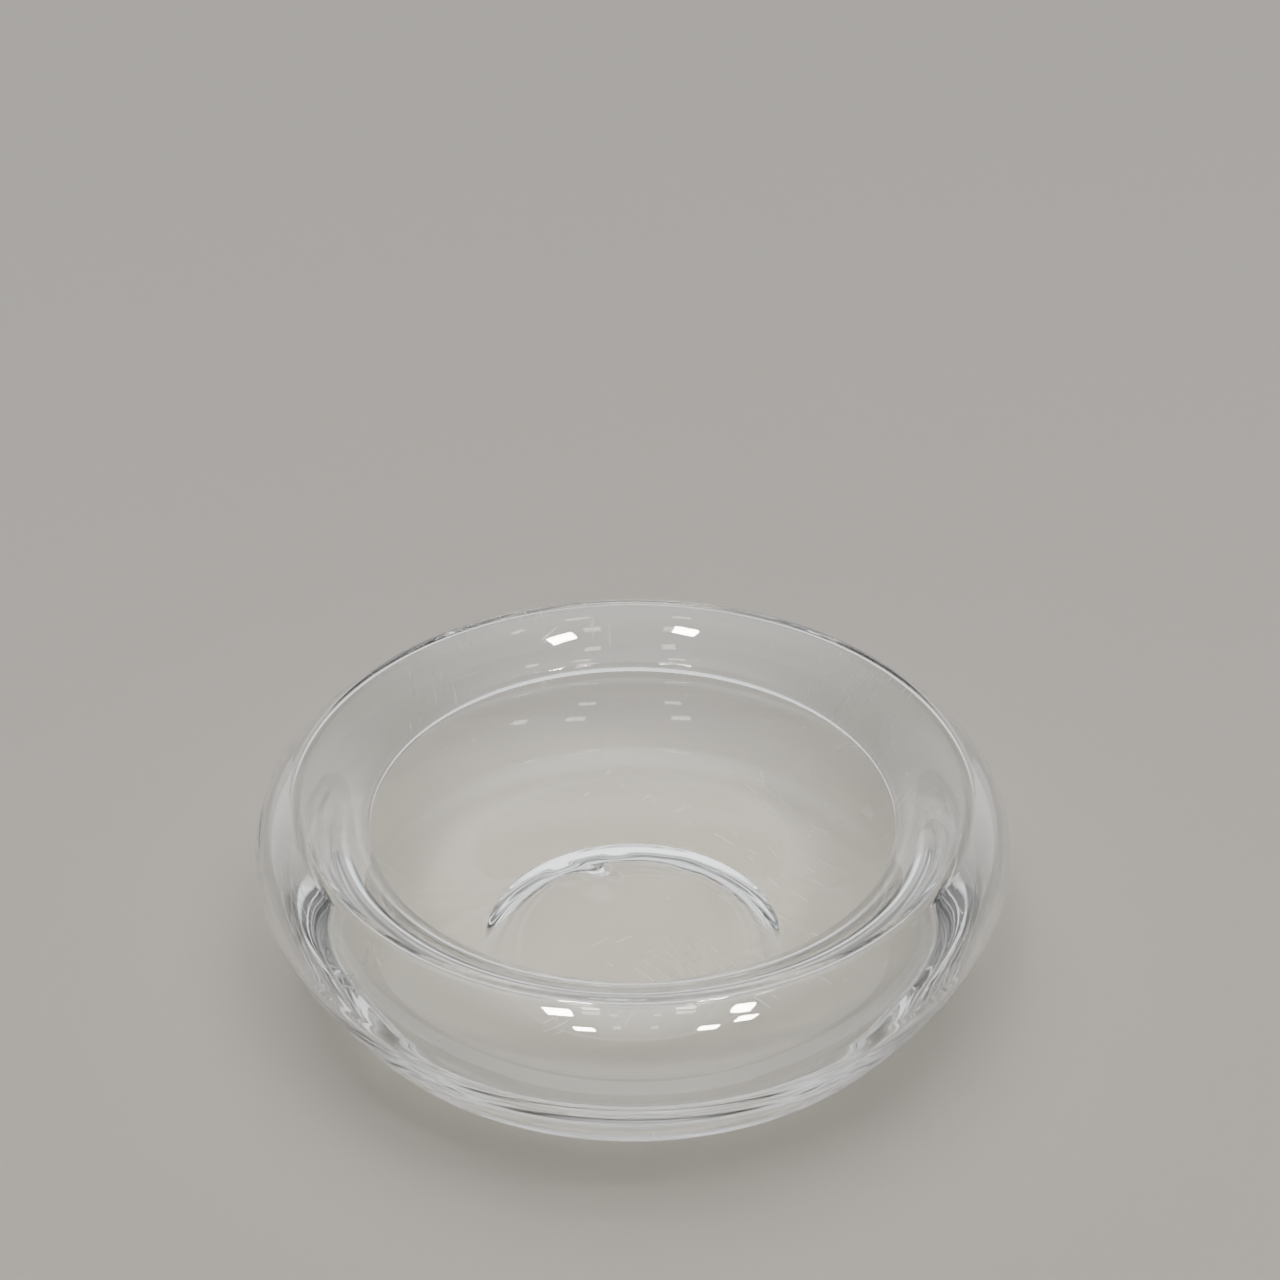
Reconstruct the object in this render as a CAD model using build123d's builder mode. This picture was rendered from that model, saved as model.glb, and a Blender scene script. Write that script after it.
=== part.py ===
"""Floating candle bowl: one piece of clear blown glass, its rim folded in over the mouth.

The section through the glass is drawn on the XZ plane, first along the outside
and then back along the inside, and is turned once round the Z axis. The bowl
stands on z = 0. All sizes are in millimetres.
"""

import os
from math import cos, radians, sin, sqrt

from build123d import *

# Belly: the widest place of the body
BELLY_RADIUS = 125.5
BELLY_HEIGHT = 50.0
BELLY_WALL = 2.4

# Crest: the fold along the top of the bowl
CREST_INSET = 15.0  # from the belly in to the top of the fold
CREST_HEIGHT = 71.0
CREST_ROUND = 5.0
CREST_WALL = 2.6
CREST_ARRIVAL = 38.0  # slope of the shoulder where it runs into the crest, degrees

# Lip: the fat fire-polished bead round the mouth
LIP_REACH = 20.5  # from the crest in to the middle of the bead
LIP_DROP = 14.0  # from the crest down to the middle of the bead
LIP_ROUND = 2.75

# Base: the flat ring that the bowl stands on, with a hollow inside it
RING_RADIUS = 52.0  # inner edge of the standing ring
RING_WIDTH = 3.0
RING_ROUND = 3.0  # from the standing ring in to the hollow
HOLLOW_HEIGHT = 5.4
HOLLOW_RUN = 26.0  # from the standing ring in to the flat top of the hollow
HOLLOW_SLOPE = 30.0  # slope of the hollow's side where it meets the ring, degrees

# Floor: the flat middle of the inside
FLOOR_REACH = 0.7  # from the standing ring out to the edge of the floor
FLOOR_HEIGHT = 9.0

# Turn: the heavy round where the underside turns up into the flank
TURN_INSET = 19.0  # from the belly in to the end of the turn
TURN_HEIGHT = 10.5
TURN_SLOPE = 55.0  # slope of the flank as it leaves the turn, degrees

# Fullness of the curves, as lengths of their handles
HOLLOW_HANDLE = 6.0
HOLLOW_SIDE_HANDLE = 6.0
UNDERSIDE_HANDLE = 40.0
TURN_HANDLE = 6.0
FLANK_HANDLE = 26.0
BELLY_HANDLE = 7.0
SHOULDER_HANDLE = 9.0
CREST_HANDLE = 9.0
BASIN_FLOOR_HANDLE = 50.0
BASIN_SIDE_HANDLE = 18.0


def straight_run(centre_a, round_a, centre_b, round_b):
    """Ends of the straight that passes over two rounds; a negative round is passed under."""
    along = (centre_b - centre_a).normalized()
    upright = Vector(along.Y, -along.X)
    lean = (round_a - round_b) / (centre_b - centre_a).length
    normal = along * lean + upright * sqrt(1 - lean**2)
    return centre_a + normal * round_a, centre_b + normal * round_b


# Rim: the crest, the flange that falls from it to the mouth, and the lip
crest_radius = BELLY_RADIUS - CREST_INSET
crest_centre = Vector(crest_radius, CREST_HEIGHT - CREST_ROUND)
crest_inside_round = CREST_ROUND - CREST_WALL
lip_centre = Vector(crest_radius - LIP_REACH, CREST_HEIGHT - LIP_DROP)
top_start, top_end = straight_run(crest_centre, CREST_ROUND, lip_centre, LIP_ROUND)
under_start, under_end = straight_run(crest_centre, crest_inside_round, lip_centre, -LIP_ROUND)
lip_front = lip_centre + (lip_centre - crest_centre).normalized() * LIP_ROUND

# Shoulder: where it meets the crest, outside and inside
arrival = Vector(-cos(radians(CREST_ARRIVAL)), sin(radians(CREST_ARRIVAL)))
crest_side = Vector(sin(radians(CREST_ARRIVAL)), cos(radians(CREST_ARRIVAL)))
shoulder_top = crest_centre + crest_side * CREST_ROUND
shoulder_top_inside = crest_centre + crest_side * crest_inside_round

# Body: the widest place, the start of the underside, and the turn into the flank
belly = Vector(BELLY_RADIUS, BELLY_HEIGHT)
belly_inside = Vector(BELLY_RADIUS - BELLY_WALL, BELLY_HEIGHT)
body_start = Vector(RING_RADIUS + RING_WIDTH, 0)
body_start_inside = Vector(RING_RADIUS + FLOOR_REACH, FLOOR_HEIGHT)
turn = Vector(BELLY_RADIUS - TURN_INSET, TURN_HEIGHT)
flank_way = Vector(cos(radians(TURN_SLOPE)), sin(radians(TURN_SLOPE)))

# Hollow: its flat top, its side falling to the standing ring, and the round between
hollow_top = Vector(RING_RADIUS - HOLLOW_RUN, HOLLOW_HEIGHT)
fall = Vector(cos(radians(HOLLOW_SLOPE)), -sin(radians(HOLLOW_SLOPE)))
ring_edge = Vector(RING_RADIUS, 0)
ring_centre = Vector(RING_RADIUS, RING_ROUND)
hollow_side = ring_centre + Vector(fall.Y, -fall.X) * RING_ROUND

out = Vector(1, 0)
up = Vector(0, 1)

with BuildPart() as glass_bowl:
    with BuildSketch(Plane.XZ):
        with BuildLine():
            # Hollow of the base and the standing ring
            Line((0, HOLLOW_HEIGHT), hollow_top)
            Bezier(
                hollow_top,
                hollow_top + out * HOLLOW_HANDLE,
                hollow_side - fall * HOLLOW_SIDE_HANDLE,
                hollow_side,
            )
            JernArc(hollow_side, fall, RING_ROUND, HOLLOW_SLOPE)
            Line(ring_edge, body_start)
            # Outside of the body
            Bezier(
                body_start,
                body_start + out * UNDERSIDE_HANDLE,
                turn - flank_way * TURN_HANDLE,
                turn,
            )
            Bezier(
                turn,
                turn + flank_way * FLANK_HANDLE,
                belly - up * BELLY_HANDLE,
                belly,
            )
            Bezier(
                belly,
                belly + up * SHOULDER_HANDLE,
                shoulder_top - arrival * CREST_HANDLE,
                shoulder_top,
            )
            # Crest, flange and lip
            ThreePointArc(shoulder_top, crest_centre + up * CREST_ROUND, top_start)
            Line(top_start, top_end)
            ThreePointArc(top_end, lip_front, under_end)
            Line(under_end, under_start)
            ThreePointArc(under_start, crest_centre + up * crest_inside_round, shoulder_top_inside)
            # Inside of the body
            Bezier(
                shoulder_top_inside,
                shoulder_top_inside - arrival * CREST_HANDLE,
                belly_inside + up * SHOULDER_HANDLE,
                belly_inside,
            )
            Bezier(
                belly_inside,
                belly_inside - up * BASIN_SIDE_HANDLE,
                body_start_inside + out * BASIN_FLOOR_HANDLE,
                body_start_inside,
            )
            # Floor
            Line(body_start_inside, (0, FLOOR_HEIGHT))
            Line((0, FLOOR_HEIGHT), (0, HOLLOW_HEIGHT))
        make_face()
    revolve(axis=Axis.Z)

os.makedirs("parts", exist_ok=True)
glass_bowl.part.label = "glass_bowl"
export_step(glass_bowl.part, "parts/glass_bowl.step")

box = glass_bowl.part.bounding_box()
print("glass bowl", round(box.size.X, 2), round(box.size.Y, 2), round(box.size.Z, 2))
print("glass volume in millilitres", round(glass_bowl.part.volume / 1000, 1))
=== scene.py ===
# %% [markdown]
# # A floating candle bowl in clear blown glass
# The bowl is one piece of glass: a hollowed base on a narrow standing ring, a heavy round turn at
# the bottom, a flank that opens up to the belly, and a rim that folds in over the mouth and ends in
# a fat polished lip. Clear glass is told by its two skins, the outside and the inside, so this
# lesson draws both skins as one closed section and turns that section round the upright axis.

import math

import bpy
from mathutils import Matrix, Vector


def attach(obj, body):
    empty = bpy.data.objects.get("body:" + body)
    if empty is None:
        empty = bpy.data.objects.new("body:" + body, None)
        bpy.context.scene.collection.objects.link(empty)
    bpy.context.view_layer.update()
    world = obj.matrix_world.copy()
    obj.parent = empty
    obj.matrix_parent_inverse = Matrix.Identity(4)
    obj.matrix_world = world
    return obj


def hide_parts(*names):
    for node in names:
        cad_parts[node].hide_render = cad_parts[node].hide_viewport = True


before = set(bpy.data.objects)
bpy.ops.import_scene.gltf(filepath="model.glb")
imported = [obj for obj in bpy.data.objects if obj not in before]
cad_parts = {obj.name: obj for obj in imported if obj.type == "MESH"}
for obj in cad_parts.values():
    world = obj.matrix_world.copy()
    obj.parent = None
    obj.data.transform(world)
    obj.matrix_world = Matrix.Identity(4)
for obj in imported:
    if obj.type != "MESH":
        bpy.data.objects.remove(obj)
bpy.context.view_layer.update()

# %% [markdown]
# ## The section through the glass
# A glassmaker thinks in a few places: where the bowl stands, where the bottom turns up, how wide
# the belly is, how the rim folds and where the mouth opens. A finished profile could be traced point
# by point, but then no size could be changed on its own later. Here the places are written down once, in
# millimetres from the axis and from the table, and Bezier curves and arcs join them. The wall comes
# out thin at the belly and heavy at the turn, as it does on a blown bowl.

# %% Helpers for the section
MM = 0.001


def heading(degrees):
    """A step of one millimetre in a direction, counted up from level and outwards."""
    return Vector((math.cos(math.radians(degrees)), math.sin(math.radians(degrees))))


def bow(start, first, second, end, count):
    """Points along a Bezier curve, without its first point."""
    points = []
    for step in range(1, count + 1):
        t = step / count
        s = 1 - t
        points.append(start * s**3 + first * (3 * s * s * t) + second * (3 * s * t * t) + end * t**3)
    return points


def arc(centre, radius, start, end, count):
    """Points round a centre between two angles in degrees, without the first point."""
    return [
        centre + heading(start + (end - start) * step / count) * radius
        for step in range(1, count + 1)
    ]


def straight(start, end, count):
    """Points along a straight, without its first point."""
    return [start.lerp(end, step / count) for step in range(1, count + 1)]


out = heading(0)
up = Vector((0.0, 1.0))
print("section helpers are ready")

# %% Places along the section
hollow_top = Vector((35.0, 5.4))
ring_inner = Vector((52.0, 0.0))
ring_outer = Vector((55.0, 0.0))
turn = Vector((106.5, 10.5))
belly = Vector((125.5, 50.0))
belly_wall = 2.4
fold = Vector((110.5, 66.0))
lip = Vector((90.0, 57.0))
floor_edge = Vector((52.7, 9.0))
ring_round = 3.0
fold_round = 5.0
fold_round_inside = 2.4
bead_round = 2.75
belly_inside = belly - out * belly_wall
print("belly across, mm", 2 * belly.x, "height, mm", fold.y + fold_round)

# %% Slopes where the curves meet, in degrees
hollow_slope = 26
flank_slope = 55
shoulder_slope = 142
flange_slopes = (200, 214)
flange_under_slopes = (32, 28)
fold_angles = (52, 110)
fold_angles_inside = (118, 52)
bead_angles = (124, 302)
hollow_way = heading(-hollow_slope)
flank_way = heading(flank_slope)
shoulder_way = heading(shoulder_slope)
print("flank leaves the turn at", flank_slope, "degrees")

# %% Fullness of the curves, as lengths of their handles
hollow_handle = 3
hollow_side_handle = 10
underside_handle = 40
turn_handle = 6
flank_handle = 26
belly_handle = 7
shoulder_handle = 9
flange_handle = 7
basin_side_handle = 18
basin_floor_handle = 50
print("handle of the underside, mm", underside_handle)

# %% Outside of the bowl, from the hollow base up to the fold
# The points lie closer together towards the slope, where the hollow is nudged later.
hollow_radii = (4.0, 8.0, 12.0, 16.0, 20.0, 24.0, 28.0, 30.0, 32.0, 33.5, hollow_top.x)
outside = [Vector((radius, hollow_top.y)) for radius in hollow_radii]
ring_centre = ring_inner + up * ring_round
hollow_side = ring_centre + heading(-90 - hollow_slope) * ring_round
outside += bow(
    hollow_top,
    hollow_top + out * hollow_handle,
    hollow_side - hollow_way * hollow_side_handle,
    hollow_side,
    count=24,
)
outside += arc(ring_centre, ring_round, -90 - hollow_slope, -90, count=6)
outside += straight(ring_inner, ring_outer, count=2)
outside += bow(
    ring_outer,
    ring_outer + out * underside_handle,
    turn - flank_way * turn_handle,
    turn,
    count=26,
)
outside += bow(turn, turn + flank_way * flank_handle, belly - up * belly_handle, belly, count=16)
shoulder_top = fold + heading(fold_angles[0]) * fold_round
outside += bow(
    belly,
    belly + up * shoulder_handle,
    shoulder_top - shoulder_way * shoulder_handle,
    shoulder_top,
    count=14,
)
outside += arc(fold, fold_round, *fold_angles, count=12)
print("outside points", len(outside))

# %% Flange and lip, over the bead and back underneath
flange_start = outside[-1]
bead_top, bead_under = [lip + heading(angle) * bead_round for angle in bead_angles]
flange_back = fold + heading(fold_angles_inside[0]) * fold_round_inside
rim = bow(
    flange_start,
    flange_start + heading(flange_slopes[0]) * flange_handle,
    bead_top - heading(flange_slopes[1]) * flange_handle,
    bead_top,
    count=12,
)
rim += arc(lip, bead_round, *bead_angles, count=18)
rim += bow(
    bead_under,
    bead_under + heading(flange_under_slopes[0]) * flange_handle,
    flange_back - heading(flange_under_slopes[1]) * flange_handle,
    flange_back,
    count=12,
)
print("flange and lip points", len(rim))

# %% Inside of the bowl, from the fold down to the floor
shoulder_inside = fold + heading(fold_angles_inside[1]) * fold_round_inside
inside = arc(fold, fold_round_inside, *fold_angles_inside, count=8)
inside += bow(
    shoulder_inside,
    shoulder_inside - shoulder_way * shoulder_handle,
    belly_inside + up * shoulder_handle,
    belly_inside,
    count=14,
)
inside += bow(
    belly_inside,
    belly_inside - up * basin_side_handle,
    floor_edge + out * basin_floor_handle,
    floor_edge,
    count=30,
)
floor_radii = (42.0, 33.0, 24.0, 16.0, 8.0, 0.0)
inside += [Vector((radius, floor_edge.y)) for radius in floor_radii]
section = [Vector((0.0, hollow_top.y))] + outside + rim + inside
print("points in the whole section", len(section))

# %% [markdown]
# ## Turning the section into a bowl
# A blowing iron makes a round thing by turning it. The same could be done with a Screw modifier, but
# the Spin tool shows each step in edit mode. The section is drawn as a chain of points, each one
# extruded from the one before it, and Spin carries the chain once round the axis. Merging the
# doubles closes the seam and the two points on the axis, and the normals are recalculated after it.

# %% Draw the chain of points
bpy.ops.object.select_all(action="DESELECT")
bpy.ops.mesh.primitive_plane_add(size=0.01, location=(0, 0, 0))
bowl = bpy.context.active_object
bowl.name = "clear_glass_bowl"
bpy.ops.object.mode_set(mode="EDIT")
bpy.ops.mesh.select_mode(type="VERT")
bpy.ops.mesh.select_all(action="SELECT")
bpy.ops.mesh.merge(type="CENTER")
bpy.ops.transform.translate(value=(0, 0, section[0].y * MM))
for before, after in zip(section, section[1:]):
    move = (after - before) * MM
    bpy.ops.mesh.extrude_vertices_move(TRANSFORM_OT_translate={"value": (move.x, 0.0, move.y)})
bpy.ops.object.mode_set(mode="OBJECT")
print("chain of", len(bowl.data.vertices), "points")

# %% Spin it round the axis
ROUND_STEPS = 192
MERGE_DISTANCE = 0.02 * MM
bpy.ops.object.mode_set(mode="EDIT")
bpy.ops.mesh.select_all(action="SELECT")
bpy.ops.mesh.spin(steps=ROUND_STEPS, angle=math.tau, center=(0, 0, 0), axis=(0, 0, 1))
bpy.ops.mesh.select_all(action="SELECT")
bpy.ops.mesh.remove_doubles(threshold=MERGE_DISTANCE)
bpy.ops.mesh.normals_make_consistent(inside=False)
bpy.ops.object.mode_set(mode="OBJECT")
bpy.ops.object.shade_smooth()
print("glass faces", len(bowl.data.polygons))

# %% [markdown]
# ## The uneven hollow
# The hollow under the base is pushed in while the glass is hot, so it is never quite even. Through
# the floor it shows as a bright half ring whose inner edge swings in and out. A noise texture could
# shake the whole skin, but only a few places need it: each is nudged up or down one by one, and
# proportional editing lets the glass round it follow.


# %% Nudge the hollow
LEAST_GLASS = 0.5


def hollow_skin():
    """Points inside the standing ring that lie under the glass of the floor."""
    under_floor = (floor_edge.y - LEAST_GLASS) * MM
    return [
        point
        for point in bowl.data.vertices
        if point.co.z < under_floor and point.co.xy.length < ring_inner.x * MM
    ]


def nudge(bearing, radius, rise, spread):
    """Moves the hollow's skin near one place, in millimetres; the bearing is counted from the back."""
    side = heading(90 - bearing) * radius * MM
    bpy.ops.object.mode_set(mode="EDIT")
    bpy.ops.mesh.select_all(action="DESELECT")
    bpy.ops.object.mode_set(mode="OBJECT")
    nearest = min(hollow_skin(), key=lambda point: (point.co.xy - side).length)
    nearest.select = True
    bpy.ops.object.mode_set(mode="EDIT")
    bpy.ops.transform.translate(
        value=(0, 0, rise * MM),
        use_proportional_edit=True,
        use_proportional_connected=True,
        proportional_edit_falloff="SMOOTH",
        proportional_size=spread * MM,
    )
    bpy.ops.object.mode_set(mode="OBJECT")


nudge(bearing=-24, radius=28, rise=1.7, spread=11)
nudge(bearing=-38, radius=38, rise=0.6, spread=9)
nudge(bearing=-8, radius=38, rise=0.4, spread=8)
nudge(bearing=26, radius=40, rise=-0.2, spread=8)
highest = max(point.co.z for point in hollow_skin())
print("highest place of the hollow, mm", round(highest / MM, 2))

# %% [markdown]
# ## The finish of clear glass
# Clear glass has almost no colour of its own. What the eye reads is the bending of light at the
# skins, faint waves left from blowing, fine scratches from use and a few small specks. A painted
# picture could carry them, but patterns worked out from the place on the glass need no picture and
# stay sharp. The shader is a plain glass, and the patterns only touch its roughness and its slope.


# %% A small class for shader maths
class Pattern:
    """An output socket that can be used in sums, so a pattern reads like a formula."""

    def __init__(self, tree, socket):
        self.tree = tree
        self.socket = socket

    def through(self, kind, inputs, output=0, **settings):
        """Adds any other node: its settings come first, then numbers and patterns on its sockets."""
        node = self.tree.nodes.new(kind)
        for name, value in settings.items():
            setattr(node, name, value)
        for key, value in inputs.items():
            if isinstance(value, Pattern):
                self.tree.links.new(value.socket, node.inputs[key])
            else:
                node.inputs[key].default_value = value
        return Pattern(self.tree, node.outputs[output])

    def maths(self, operation, first, second):
        return self.through("ShaderNodeMath", {0: first, 1: second}, operation=operation)

    def __add__(self, other):
        return self.maths("ADD", self, other)

    def __radd__(self, other):
        return self.maths("ADD", other, self)

    def __sub__(self, other):
        return self.maths("SUBTRACT", self, other)

    def __rsub__(self, other):
        return self.maths("SUBTRACT", other, self)

    def __mul__(self, other):
        return self.maths("MULTIPLY", self, other)

    def __rmul__(self, other):
        return self.maths("MULTIPLY", other, self)


def ramp(pattern, low, high):
    """Zero below low, one above high, and a soft slope between."""
    return pattern.through(
        "ShaderNodeMapRange",
        {"Value": pattern, "From Min": low, "From Max": high},
        interpolation_type="SMOOTHSTEP",
    )


print("shader maths is ready")

# %% Start the glass
glass = bpy.data.materials.new("clear blown glass")
glass.use_nodes = True
skin = glass.node_tree.nodes["Principled BSDF"]
skin.inputs["Base Color"].default_value = (0.972, 0.98, 0.976, 1.0)
skin.inputs["Transmission Weight"].default_value = 1.0
skin.inputs["IOR"].default_value = 1.5
place_node = glass.node_tree.nodes.new("ShaderNodeTexCoord")
place = Pattern(glass.node_tree, place_node.outputs["Object"])


def cloud(scale, detail=1.0, turned=(0.0, 0.0, 0.0), stretch=(1.0, 1.0, 1.0)):
    """Soft noise in the glass, its size set by how many times it repeats in a metre."""
    laid = place.through("ShaderNodeMapping", {"Vector": place, "Rotation": turned, "Scale": stretch})
    return place.through("ShaderNodeTexNoise", {"Vector": laid, "Scale": scale, "Detail": detail})


print("glass bends light by", skin.inputs["IOR"].default_value)

# %% Waves left from blowing
slow_waves = cloud(16.0)
ring_waves = cloud(9.0, stretch=(1.0, 1.0, 6.0))
waves = slow_waves * 0.7 + ring_waves * 0.3
print("nodes after the waves", len(glass.node_tree.nodes))


# %% Fine scratches
def scratches(turned, spacing, patch_seed):
    """Thin lines in one direction, broken into short strokes and gathered in patches."""
    laid = place.through("ShaderNodeMapping", {"Vector": place, "Rotation": turned})
    across = place.through("ShaderNodeSeparateXYZ", {"Vector": laid}, output=0)
    wandering = across * spacing + cloud(35.0, turned=turned) * 1.6
    lines = ramp(wandering.maths("PINGPONG", wandering, 0.5), 0.45, 0.485)
    strokes = ramp(cloud(70.0, turned=(patch_seed, 0.4, 1.0)), 0.58, 0.64)
    patches = ramp(cloud(12.0, turned=(1.0, patch_seed, 0.2)), 0.53, 0.61)
    return lines * strokes * patches


marks = scratches((0.3, 0.5, 0.9), 330.0, 0.7) + scratches((1.1, 0.2, 2.2), 280.0, 2.1)
print("nodes after the scratches", len(glass.node_tree.nodes))

# %% Smears and small specks
SPECK_CELLS = {"Vector": place, "Scale": 140.0}
smear = ramp(cloud(22.0, detail=5.0, turned=(0.2, 1.3, 0.4)), 0.5, 0.75)
from_middle = place.through("ShaderNodeTexVoronoi", SPECK_CELLS, output="Distance")
cell_colour = place.through("ShaderNodeTexVoronoi", SPECK_CELLS, output="Color")
cell_value = place.through("ShaderNodeSeparateColor", {"Color": cell_colour}, output=0)
one_cell_in_ten = ramp(cell_value, 0.9, 0.91)
specks = (1.0 - ramp(from_middle, 0.03, 0.06)) * one_cell_in_ten
print("nodes after the specks", len(glass.node_tree.nodes))

# %% Join the patterns to the skin
WAVE_HEIGHT = 0.6 * MM
dull = smear * 0.02 + marks * 0.4 + specks * 0.5
bump = place.through("ShaderNodeBump", {"Height": waves, "Strength": 1.0, "Distance": WAVE_HEIGHT})
glass.node_tree.links.new(dull.socket, skin.inputs["Roughness"])
glass.node_tree.links.new(bump.socket, skin.inputs["Normal"])
bowl.data.materials.append(glass)
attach(bowl, "root")
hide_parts("glass_bowl")
print("glass nodes", len(glass.node_tree.nodes))

# %% [markdown]
# ## Floor and room
# Clear glass shows only what is around it. One big lamp would leave one big square on it, so the room
# itself gives the soft light: brightest overhead and low behind the bowl, and dark between, because
# the dark is what draws the edges of the glass. The floor is plain and pale.

# %% Pale floor
FLOOR_RADIUS = 3.0
FLOOR_GAP = 0.4 * MM
bpy.ops.object.select_all(action="DESELECT")
bpy.ops.mesh.primitive_circle_add(
    vertices=96, radius=FLOOR_RADIUS, fill_type="NGON", location=(0, 0, -FLOOR_GAP)
)
floor = bpy.context.active_object
floor.name = "pale_floor"
pale = bpy.data.materials.new("pale floor")
pale.use_nodes = True
pale_skin = pale.node_tree.nodes["Principled BSDF"]
pale_skin.inputs["Base Color"].default_value = (0.49, 0.455, 0.41, 1.0)
pale_skin.inputs["Roughness"].default_value = 0.7
floor.data.materials.append(pale)
print("floor laid, metres across", 2 * FLOOR_RADIUS)

# %% Soft room, bright overhead and low behind the bowl
room = bpy.data.worlds.new("soft room")
bpy.context.scene.world = room
room.use_nodes = True
sky = room.node_tree.nodes["Background"]
sky.inputs["Color"].default_value = (0.97, 0.98, 1.0, 1.0)
look_node = room.node_tree.nodes.new("ShaderNodeTexCoord")
look = Pattern(room.node_tree, look_node.outputs["Generated"])
look_back = look.through("ShaderNodeSeparateXYZ", {"Vector": look}, output=1)
look_up = look.through("ShaderNodeSeparateXYZ", {"Vector": look}, output=2)
low_light = ramp(0.65 - look_up, 0.0, 0.4) * (ramp(look_back, 0.1, 0.75) * 1.5 + 0.06)
overhead_light = ramp(look_up, 0.7, 1.0) * 2.5
glow = low_light + overhead_light + 0.04
room.node_tree.links.new(glow.socket, sky.inputs["Strength"])
print("room nodes", len(room.node_tree.nodes))

# %% [markdown]
# ## Lamps and camera
# Small square lamps in pairs on a ceiling leave small square glints in pairs on a curved rim. Where
# a lamp shows on the glass depends on the slope there, so each group has its own part of the bowl:
# the flange behind the mouth, the wall inside, and the shoulder in front. The lamps for the rim and
# the shoulder are there for their glints alone and are kept from lighting the floor.


# %% Lamps
CEILING = 2.4
CREAM = (1.0, 0.97, 0.88)


def lamps(name, places, width, depth, power, glint_only):
    """Flat lamps on the ceiling that shine straight down, in metres and watts."""
    for count, (x, y) in enumerate(places):
        bpy.ops.object.select_all(action="DESELECT")
        bpy.ops.object.light_add(type="AREA", location=(x, y, CEILING))
        lamp = bpy.context.active_object
        lamp.name = f"{name} {count}"
        lamp.data.shape = "RECTANGLE"
        lamp.data.size = width
        lamp.data.size_y = depth
        lamp.data.energy = power
        lamp.data.color = CREAM
        lamp.visible_diffuse = not glint_only
        lamp.visible_transmission = not glint_only
    print(name, len(places))


over_rim = [(0.46, 0.02), (-0.33, 0.08)]
over_wall = [(0.5, -0.65), (-0.42, -0.65), (0.5, -1.2), (-0.42, -1.2), (1.1, -0.65)]
over_shoulder = [(-0.77, -1.4), (1.15, -1.35), (-0.62, -2.1), (0.95, -2.1), (1.35, -1.75)]
lamps("rim lamp", over_rim, width=0.17, depth=0.13, power=22.0, glint_only=True)
lamps("wall lamp", over_wall, width=0.18, depth=0.13, power=2.6, glint_only=False)
lamps("shoulder lamp", over_shoulder, width=0.26, depth=0.24, power=60.0, glint_only=True)

# %% Camera
SENSOR_WIDTH = 36.0
LENS_IN_PIXELS = 2566
FRAME_IN_PIXELS = 1280
camera_place = (0.0024, -0.687, 0.570)
camera_tilt = math.radians(57.1)
bpy.ops.object.select_all(action="DESELECT")
bpy.ops.object.camera_add(location=camera_place, rotation=(camera_tilt, 0, 0))
camera = bpy.context.active_object
camera.data.sensor_width = SENSOR_WIDTH
camera.data.lens = SENSOR_WIDTH * LENS_IN_PIXELS / FRAME_IN_PIXELS
bpy.context.scene.camera = camera
print("camera lens, mm", round(camera.data.lens, 1))

# %% [markdown]
# ## Light inside the glass
# In a thick clear base, light is thrown back and forth between the skins many times before it gets
# out. If the renderer gives up after a few turns, those places come out black, so it is told to
# follow the light for longer.

# %% Let light turn often enough inside the glass
paths = bpy.context.scene.cycles
paths.max_bounces = 28
paths.glossy_bounces = 22
paths.transmission_bounces = 24
print("light may turn", paths.max_bounces, "times")
